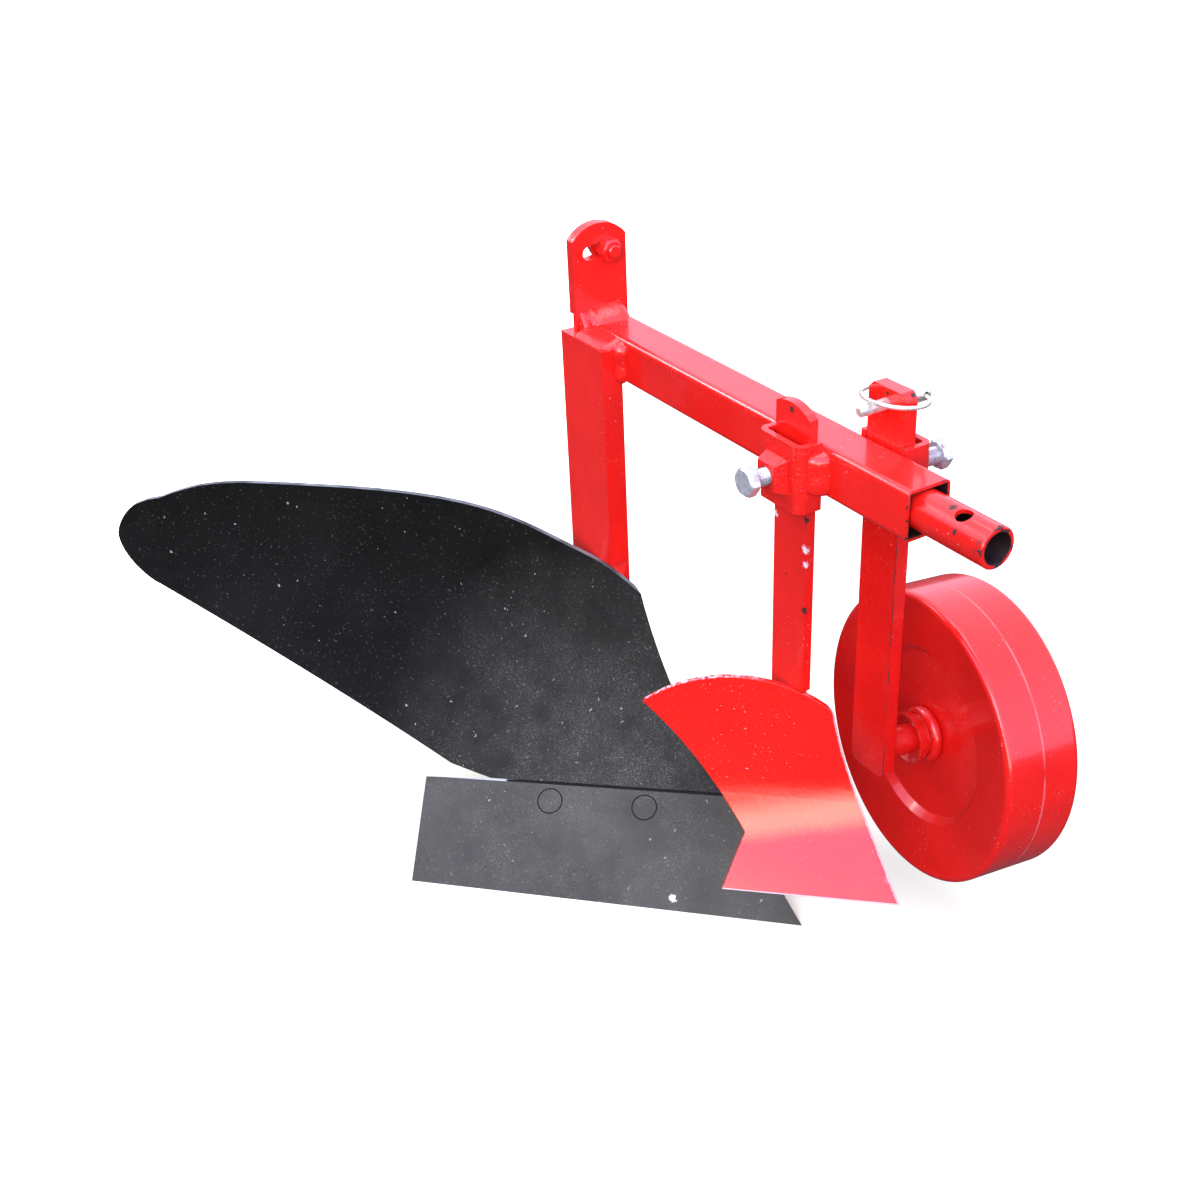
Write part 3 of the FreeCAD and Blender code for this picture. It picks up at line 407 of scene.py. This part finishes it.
def tube_scuffs(coat):
    x = coat.place.along((1.0, 0.0, 0.0))
    lip = x.over(TUBE_MOUTH_X - 0.009, TUBE_MOUTH_X - 0.002) * coat.grain(120.0, 3.0, 0.6).over(0.56, 0.60)
    hole = coat.near((-0.012, -0.004, 0.0155), 0.004) + coat.near((0.002, -0.0145, 0.006), 0.0025)
    return lip.either(hole)


def tube_bore(coat):
    out = coat.node("VectorMath", {0: coat.place, 1: (0.0, 1.0, 1.0)}, operation="MULTIPLY")
    return out.node("VectorMath", {0: out}, 1, operation="LENGTH").over(0.0129, 0.0123)


wear(enamel("tube_enamel", None, tube_scuffs, tube_bore), "hitch_tube")

# ---------------------------------------------------------------- mouldboard
# 5 mm plate rolled to a cylinder and blackened, with dry dust in its pores and a lighter patch
# low in the middle that is partly dust and partly painted reflection. Its cut edges are a little
# paler where the black has been rubbed off, and its tail ends in a blunt oval.
DUST_AND_SHEEN_TONE = (0.30, 0.285, 0.235, 1.0)
EDGE_RUN = Vector((-0.70711, -0.70711, 0.0))
DIP = math.radians(42.0)
UP_SLOPE = Vector((-0.70711 * math.cos(DIP), 0.70711 * math.cos(DIP), math.sin(DIP)))
FACE_OUT = Vector((0.70711 * math.sin(DIP), -0.70711 * math.sin(DIP), math.cos(DIP)))
SHARE_POINT = Vector((-0.1402, -0.0200, -0.4467))
SEAM_RISE = 0.110
BOARD_R = 0.330
DUST_AND_SHEEN_HEART = (-0.31, -0.13, -0.35)


def plough_steel(name, dark, light, rough, marks, specular, dust_and_sheen_weight):
    """Dull plough plate: cloudy scale, pale dust specks, a lighter patch round one point that is partly dust
    and partly painted reflection, then (mask, colour) marks.
    """
    steel = Finish(name, Specular_IOR_Level=specular)
    clouds = steel.grain(8.0, 5.0, 0.62).over(0.34, 0.70)
    # Lighter towards one point low on the board: partly dust, partly a painted reflection.
    gap = steel.node("VectorMath", {0: steel.place, 1: DUST_AND_SHEEN_HEART}, 1, operation="DISTANCE")
    dust_and_sheen = gap.over(0.24, 0.05) * dust_and_sheen_weight + (1.0 - dust_and_sheen_weight) * 0.55
    patch = steel.grain(26.0, 4.0, 0.65).over(0.36, 0.66) * dust_and_sheen
    fine = steel.grain(1000.0, 2.0, 0.65).over(0.46, 0.64) * patch
    spots = steel.grain(380.0, 2.0, 0.5).over(0.655, 0.70) * (patch * 0.8 + 0.2)
    big = steel.grain(150.0, 2.0, 0.5).over(0.735, 0.755)
    streak = steel.grain(60.0, 3.0, 0.7, (3.0, 0.4, 3.0)).over(0.73, 0.75)
    tone = clouds.tint(dark, light)
    tone = (fine * 0.34 + dust_and_sheen * 0.10).tint(tone, DUST_AND_SHEEN_TONE)
    tone = (spots * 0.50).either(big * 0.8).either(streak * 0.35).tint(tone, DUST_AND_SHEEN_TONE)
    for mask, colour in marks(steel):
        tone = mask.tint(tone, colour)
    steel.set("Base Color", tone)
    steel.set("Roughness", clouds * 0.12 + fine * 0.15 + rough)
    steel.bump(steel.grain(420.0, 3.0, 0.6) + steel.grain(25.0) * 2.0, 0.00010, 0.5)
    return steel.material


def board_marks(steel):
    """Rubbed cut edges: where the normal leaves the radius of the rolled plate."""
    axis_point = SHARE_POINT + UP_SLOPE * SEAM_RISE + FACE_OUT * BOARD_R
    up = (steel.place.along(UP_SLOPE) - axis_point.dot(UP_SLOPE)) * steel.facing(UP_SLOPE)
    out = (steel.place.along(FACE_OUT) - axis_point.dot(FACE_OUT)) * steel.facing(FACE_OUT)
    radial = (up + out).abs() * (1.0 / BOARD_R)
    return [(radial.over(0.75, 0.5) * steel.grain(50.0, 3.0).over(0.2, 0.6), (0.20, 0.20, 0.20, 1.0))]


board_black = plough_steel("board_black", (0.0026, 0.0025, 0.0022, 1.0), (0.0072, 0.0069, 0.0060, 1.0),
                           0.46, board_marks, 0.045, 0.92)
wear(board_black, "mouldboard")

TAIL_HEART = (0.620, 0.240)
TAIL_REACH = (0.0816, 0.0548)
TAIL_FULLNESS = 1.7
TAIL_FROM, TAIL_TO = math.radians(-47.0), math.radians(50.0)
TAIL_EASE = math.radians(30.0)
TAIL_LENGTH = 0.030


def on_board(along, rise, depth):
    """Place on the rolled plate from its run along the edge, its rise and its depth."""
    radius = BOARD_R + depth
    roll = SEAM_RISE * math.sin(DIP) + BOARD_R * math.cos(DIP) - rise
    turn = math.acos(roll / radius) - DIP
    axis_point = SHARE_POINT + UP_SLOPE * SEAM_RISE + FACE_OUT * BOARD_R
    spoke = UP_SLOPE * math.sin(turn) - FACE_OUT * math.cos(turn)
    return axis_point + EDGE_RUN * along + spoke * radius


def shape_tail(mesh):
    """Moves the rim of the tail along the rolled plate, out or in to the oval."""
    heart_along, heart_rise = TAIL_HEART
    for vertex in mesh.vertices:
        offset = vertex.co - SHARE_POINT
        along, rise = offset.dot(EDGE_RUN), offset.z
        out_of_roll = offset.dot(FACE_OUT) - BOARD_R
        depth = math.hypot(offset.dot(UP_SLOPE) - SEAM_RISE, out_of_roll) - BOARD_R
        angle = math.atan2(rise - heart_rise, along - heart_along)
        if along < heart_along - TAIL_LENGTH or not TAIL_FROM < angle < TAIL_TO:
            continue
        reach = math.hypot(along - heart_along, rise - heart_rise)
        spread = (abs(math.cos(angle)) / TAIL_REACH[0], abs(math.sin(angle)) / TAIL_REACH[1])
        full = sum(part ** TAIL_FULLNESS for part in spread) ** (-1.0 / TAIL_FULLNESS)
        reach += (full - reach) * min(1.0, (TAIL_TO - angle) / TAIL_EASE)
        run, lift_up = reach * math.cos(angle), reach * math.sin(angle)
        vertex.co = on_board(heart_along + run, heart_rise + lift_up, depth)


board_mesh = nodes["mouldboard"].data.copy()
board_mesh.name = "mouldboard_plate"
shape_tail(board_mesh)
board_plate = bpy.data.objects.new("mouldboard_plate", board_mesh)
scene.collection.objects.link(board_plate)
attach(board_plate, "frame")
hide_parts("mouldboard")

# ---------------------------------------------------------------- share and plough bolts
# 8 mm cast share with a ground top rim, held by two countersunk plough bolts whose round
# heads lie flush in it, each in a thin dark gap. The landside is plate of the same grey.
BOLT_PLACES = ((0.155, 0.090), (0.244, 0.087))
BOLT_HEAD_R = 0.0115
BOARD_END = 0.287
SEAM_FALL = 12.0 / 362.0
GAP_DARK = (0.002, 0.002, 0.002, 1.0)


def share_marks(steel):
    """Gaps round the bolt heads, the seam line under the board, one white scrape."""
    marks = []
    for run, rise in BOLT_PLACES:
        centre = SHARE_POINT + EDGE_RUN * run + UP_SLOPE * rise
        gap = steel.node("VectorMath", {0: steel.place, 1: centre}, 1, operation="DISTANCE")
        inner = gap.over(BOLT_HEAD_R - 0.0008, BOLT_HEAD_R - 0.0005)
        ring = inner * gap.over(BOLT_HEAD_R + 0.0007, BOLT_HEAD_R + 0.0004)
        marks.append((ring, GAP_DARK))
    run = steel.place.along(EDGE_RUN) - SHARE_POINT.dot(EDGE_RUN)
    rise = steel.place.along(UP_SLOPE) - SHARE_POINT.dot(UP_SLOPE) + run * SEAM_FALL
    seam = rise.over(SEAM_RISE + 0.0004, SEAM_RISE + 0.0008)
    marks.append((seam * run.over(BOARD_END + 0.003, BOARD_END), GAP_DARK))
    marks.append((seam * run.over(BOARD_END, BOARD_END + 0.003), (0.42, 0.42, 0.42, 1.0)))
    scrape = SHARE_POINT + EDGE_RUN * 0.118 + UP_SLOPE * 0.011
    marks.append((steel.near(scrape, 0.0042, 1.1), (0.85, 0.85, 0.85, 1.0)))
    return marks


share_steel = plough_steel("share_grey", (0.028, 0.0265, 0.021, 1.0), (0.066, 0.062, 0.050, 1.0), 0.50,
                           share_marks, 0.14, 0.5)
wear(share_steel, "share", "landside_plate", "landside_bolt_front", "landside_bolt_rear",
     "share_bolt_inner", "share_bolt_outer")

# ---------------------------------------------------------------- skimmer bracket
# A strap bent round the bar and welded to the beam, with a tapered boss for the clamp bolt.
# Sprayed thick over weld spatter. The bolt is an M14 zinc hex bolt with its thread showing.
bracket_enamel = enamel("bracket_enamel", spatter=1.0, dull=0.06)
wear(bracket_enamel, "skimmer_bracket", "skimmer_bracket_boss")
strap_low, strap_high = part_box("skimmer_bracket")
fillet("weld_skimmer_front", (strap_high.x, beam_low.y, beam_high.z - 0.003),
       (strap_high.x, beam_low.y, beam_low.z + 0.001), FORE, RIGHT, (0.010, 0.0145), "frame", 1.4, 0.20, 15.0)
fillet("weld_skimmer_rear", (strap_low.x, beam_low.y, beam_high.z - 0.004),
       (strap_low.x, beam_low.y, beam_low.z + 0.002), AFT, RIGHT, (0.008, 0.010), "frame", 1.2, 0.30, 17.0)

zinc = Finish("bright_zinc", Metallic=0.55, Specular_IOR_Level=0.5)
zinc_cloud = zinc.grain(160.0, 4.0, 0.6).over(0.3, 0.7)
zinc.set("Base Color", zinc_cloud.tint((0.50, 0.51, 0.52, 1.0), (0.74, 0.75, 0.76, 1.0)))
zinc.set("Roughness", zinc_cloud * 0.16 + 0.20)
zinc.bump(zinc.grain(500.0, 2.0), 0.00006, 0.5)


# How a bolt head is turned: share of its height, then share of half its width.
HEAD_RINGS = ((0.0, 0.55), (0.0, 0.97), (0.05, 0.98), (0.13, 1.2), (0.80, 1.2), (0.90, 1.07),
              (1.0, 0.94), (1.0, 0.55))
BOLT_AROUND = 72
# The clamp bolts: width across flats, height of the head, radius of the shank, pitch.
CLAMP_BOLT = (0.021, 0.009, 0.007, 0.002)


def threaded_bolt(piece_name, node_name, body, outward, across, head_h, shank_r, pitch):
    """Hex bolt with a chamfered head and a helical thread, in place of the plain solid."""
    low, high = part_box(node_name)
    out = Vector(outward)
    middle = (low + high) * 0.5
    length = abs((high - low).dot(out))
    tip = middle - out * (length * 0.5)
    side = Vector((1.0, 0.0, 0.0))
    top = out.cross(side)
    around = BOLT_AROUND
    rings = []
    core = shank_r - pitch * 0.61
    shank = length - head_h
    steps = int(shank / pitch * 8)
    for i in range(steps + 1):
        along = shank * i / steps
        lead = min(1.0, (along + 0.0004) / 0.0015)
        row = []
        for j in range(around):
            phase = (along / pitch - j / around) % 1.0
            crest = 1.0 - abs(2.0 * phase - 1.0) * 1.15
            row.append(core + (shank_r - core) * max(0.0, min(1.0, crest)) * lead)
        rings.append((along, row))
    flat = 0.5 * across
    for into, rim in HEAD_RINGS:
        row = []
        for j in range(around):
            turn = math.tau * j / around
            hexed = flat / math.cos((turn % (math.pi / 3)) - math.pi / 6)
            row.append(min(hexed, flat * rim))
        rings.append((shank + head_h * into, row))
    verts, faces = [], []
    for along, row in rings:
        for j, radius in enumerate(row):
            turn = math.tau * j / around
            verts.append(tip + out * along + (side * math.cos(turn) + top * math.sin(turn)) * radius)
    for i in range(len(rings) - 1):
        for j in range(around):
            a, b = i * around + j, i * around + (j + 1) % around
            faces.append((a, b, b + around, a + around))
    faces.append(tuple(range(around))[::-1])
    faces.append(tuple((len(rings) - 1) * around + j for j in range(around)))
    mesh = bpy.data.meshes.new(piece_name)
    mesh.from_pydata(verts, [], faces)
    mesh.shade_smooth()
    mesh.set_sharp_from_angle(angle=math.radians(32.0))
    mesh.materials.append(zinc.material)
    piece = bpy.data.objects.new(piece_name, mesh)
    scene.collection.objects.link(piece)
    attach(piece, body)
    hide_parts(node_name)


threaded_bolt("skimmer_clamp_screw", "skimmer_clamp_bolt", "jointer_clamp", RIGHT, *CLAMP_BOLT)
wear(zinc.material, "share_nut_inner", "share_nut_outer", "landside_nut_front", "landside_nut_rear",
     "axle_end_washer", "axle_split_pin")

# ---------------------------------------------------------------- skimmer bar and blade
# Flat bar 40 by 8 mm with a small curled blade welded on its foot, both glossy red. Stones
# have chipped the edges of the bar and the working edges of the blade.
BAR_CHIPS = [((-0.1775, -0.0290, -0.050), 0.0035), ((-0.1400, -0.0285, -0.066), 0.0042),
             ((-0.1395, -0.0280, -0.079), 0.0028)]
BAR_DENTS = [((-0.160, -0.0285, 0.0425), 0.0030), ((-0.1395, -0.0285, -0.040), 0.0035),
             ((-0.1393, -0.0280, -0.120), 0.0034)]


def spots(coat, places):
    """All ragged spots of a list, each a place and a radius."""
    mask = coat.near(*places[0])
    for place, radius in places[1:]:
        mask = mask.either(coat.near(place, radius))
    return mask


def bar_chips(coat):
    return spots(coat, BAR_CHIPS)


def bar_dark(coat):
    nick = coat.grain(170.0, 2.0, 0.6).over(0.72, 0.74) * coat.grain(12.0).over(0.5, 0.6)
    return spots(coat, BAR_DENTS).either(nick)


def blade_chips(coat):
    y = coat.place.along((0.0, 1.0, 0.0))
    ragged = coat.grain(210.0, 4.0, 0.75)
    z = coat.place.along((0.0, 0.0, 1.0))
    land = (y + ragged * 0.0022).over(-0.0092, -0.0088) * 0.45
    corner = coat.near((-0.040, -0.0115, -0.328), 0.010, 0.9) * ragged.over(0.45, 0.55)
    low = z.over(-0.3494, -0.3500) * 0.7
    wing = coat.facing((0.0, 0.0, 1.0)).over(0.70, 0.85) * ragged.over(0.48, 0.58)
    wing = wing * coat.place.along((1.0, 0.0, 0.0)).over(-0.165, -0.185)
    wisps = coat.grain(75.0, 3.0, 0.75, (0.5, 0.5, 2.2)).over(0.745, 0.755) * 0.6
    return land.either(low).either(corner).either(wing).either(wisps)


BLADE_POINT = Vector((-0.0306, -0.0090, -0.3506))
BLADE_UP = Vector((-0.3578, 0.3384, 0.8704))
BLADE_LEAN = BLADE_UP + EDGE_RUN * 0.17
CREASE_RISE = 0.058
CURL_DEPTH = 0.040
CURL_R = 0.280


def blade_curl(coat):
    """Eases the flat into the curl below the true bend, as a pressed blade does."""
    rise = coat.place.along(BLADE_LEAN) - (BLADE_POINT.dot(BLADE_LEAN) + CREASE_RISE)
    soft = rise.node("Clamp", {"Value": rise, "Min": 0.0, "Max": CURL_DEPTH})
    beyond = (rise - CURL_DEPTH).either(0.0)
    return soft * soft * (0.5 / CURL_R) + beyond * (CURL_DEPTH / CURL_R)


wear(enamel("skimmer_bar_enamel", bar_chips, bar_dark), "skimmer_post", "skimmer_gusset")
wear(enamel("skimmer_blade_enamel", blade_chips, rough=0.11, uneven=0.4, curl=blade_curl,
            specular=0.74, cover=0.0), "skimmer_blade")

# ---------------------------------------------------------------- wheel bracket
# The same kind of strap and boss on the land side of the beam, for the wheel's bar, welded
# to the beam and sprayed with it. Its clamp bolt is the same zinc hex bolt.
wear(bracket_enamel, "wheel_bracket", "wheel_bracket_boss")
cuff_low, cuff_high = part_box("wheel_bracket")
fillet("weld_wheel_front", (cuff_high.x, beam_high.y, beam_high.z - 0.004),
       (cuff_high.x, beam_high.y, beam_low.z + 0.002), FORE, LEFT, (0.008, 0.010), "frame", 1.2, 0.30, 19.0)
fillet("weld_wheel_rear", (cuff_low.x, beam_high.y, beam_high.z - 0.004),
       (cuff_low.x, beam_high.y, beam_low.z + 0.002), AFT, LEFT, (0.008, 0.010), "frame", 1.2, 0.30, 21.0)
threaded_bolt("wheel_clamp_screw_bolt", "wheel_clamp_bolt", "wheel_clamp", LEFT, *CLAMP_BOLT)

# ---------------------------------------------------------------- wheel bar, axle, lynch pin
# Flat bar 40 by 12 mm with chamfered ends. The axle is welded through its foot, with a
# pressed cup against mud, and a sprung lynch pin through the top keeps it from dropping.


def wheel_bar_edges(coat):
    x = coat.place.along((1.0, 0.0, 0.0))
    corner = x.over(-0.0930, -0.0922) * coat.place.along((0.0, 1.0, 0.0)).over(0.0215, 0.0207)
    nick = coat.near((-0.112, 0.020, 0.060), 0.0025).either(coat.near((-0.094, 0.030, 0.062), 0.0030))
    return (corner * coat.grain(60.0, 3.0, 0.6).over(0.40, 0.55)).either(nick)


wear(enamel("wheel_bar_enamel", None, wheel_bar_edges), "wheel_post")
wear(weld_enamel, "axle_cup", "axle_spacer", "wheel_axle")
yellow = Finish("pale_zinc", Metallic=0.6)
yellow_cloud = yellow.grain(180.0, 4.0, 0.6).over(0.3, 0.7)
yellow.set("Base Color", yellow_cloud.tint((0.60, 0.55, 0.45, 1.0), (0.82, 0.79, 0.73, 1.0)))
yellow.set("Roughness", yellow_cloud * 0.15 + 0.22)
wear(yellow.material, "lynch_pin", "lynch_ring")

# ---------------------------------------------------------------- wheel
# Two pressed steel dishes welded rim to rim on a hub with a collar on each side, sprayed
# red. A faint joint runs round the middle of the tread, with a painted highlight along it as a pale line.
AXLE_RUN = Vector((0.119983, 0.991486, -0.050593))
SEAM_HALF = 0.0011
near_low, near_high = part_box("wheel_shell_near")
far_low, far_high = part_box("wheel_shell_far")
wheel_middle = [(min(near_low[i], far_low[i]) + max(near_high[i], far_high[i])) * 0.5 for i in range(3)]
TREAD_MIDDLE = Vector(wheel_middle).dot(AXLE_RUN)


# Thin pale line along the middle of the tread: a painted highlight on the joint.
def tread_seam_highlight(coat):
    off = (coat.place.along(AXLE_RUN) - TREAD_MIDDLE).abs()
    return off.over(SEAM_HALF, SEAM_HALF * 0.3) * coat.grain(40.0, 3.0).over(0.25, 0.55) * 0.20


wheel_enamel = enamel("wheel_enamel", tread_seam_highlight, rough=0.18)
wear(wheel_enamel, "wheel_shell_near", "wheel_shell_far", "wheel_hub", "hub_collar_near",
     "hub_collar_far")
bronze = Finish("bush_bronze", Metallic=1.0)
bronze_cloud = bronze.grain(120.0, 4.0).over(0.3, 0.7)
bronze.set("Base Color", bronze_cloud.tint((0.50, 0.36, 0.16, 1.0), (0.60, 0.45, 0.22, 1.0)))
bronze.set("Roughness", bronze_cloud * 0.1 + 0.35)
wear(bronze.material, "hub_bush_near", "hub_bush_far")
